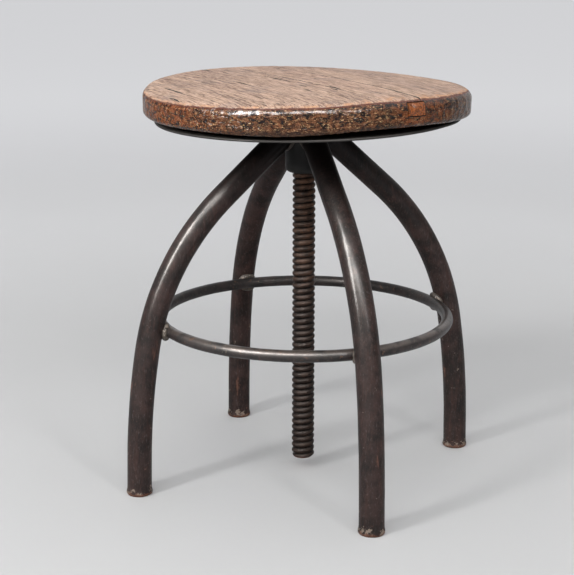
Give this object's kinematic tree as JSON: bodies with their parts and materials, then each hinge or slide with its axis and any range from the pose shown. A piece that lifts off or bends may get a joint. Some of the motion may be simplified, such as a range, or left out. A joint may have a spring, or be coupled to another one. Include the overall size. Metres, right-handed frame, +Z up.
{
  "type": "adjustable swivel stool",
  "caption": "Round wooden stool seat on a coarse vertical screw in a hub carried by bent tube legs with a round foot ring; turning the seat raises it.",
  "frame": {"origin": "on the floor under the screw's axis", "axes": "+Z up along the screw; -Y towards the front leg's side, which faces the viewer; +X to the viewer's right"},
  "size_m": [0.3917, 0.3936, 0.4498],
  "materials": {
    "tube": "satin",
    "hub_steel": "satin",
    "weld": "matt",
    "ring_steel": "satin",
    "washer_steel": "satin",
    "screw_steel": "satin",
    "plate_steel": "satin",
    "fastener_steel": "satin",
    "board": "satin",
    "patch_wood": "satin"
  },
  "bodies": {
    "base": {"leg_left": "tube", "leg_front": "tube", "leg_right": "tube", "leg_back": "tube", "foot_cap_left": "tube", "foot_cap_front": "tube", "foot_cap_right": "tube", "foot_cap_back": "tube", "hub": "hub_steel", "hub_welds": "weld", "foot_ring": "ring_steel", "ring_weld_left": "weld", "ring_weld_front": "weld", "ring_weld_right": "weld", "ring_weld_back": "weld"},
    "washer": {"thrust_washer": "washer_steel"},
    "seat": {"screw": "screw_steel", "spindle_weld": "weld", "seat_plate": "plate_steel", "seat_screws": "fastener_steel", "seat_board_left": "board", "seat_board_middle": "board", "seat_board_right": "board", "seat_patch": "patch_wood"}
  },
  "joints": [
    {"name": "seat_turn", "type": "hinge", "parent": "base", "child": "washer", "pos_m": [0, 0, 0.4], "axis": [0, 0, 1], "range_deg": [0, 12600]},
    {"name": "seat_lift", "type": "slide", "parent": "washer", "child": "seat", "axis": [0, 0, 1], "range_m": [0, 0.245]}
  ],
  "couplings": [
    {"joint": "seat_lift", "follows": "seat_turn", "m_per_rad": 0.0011141}
  ]
}
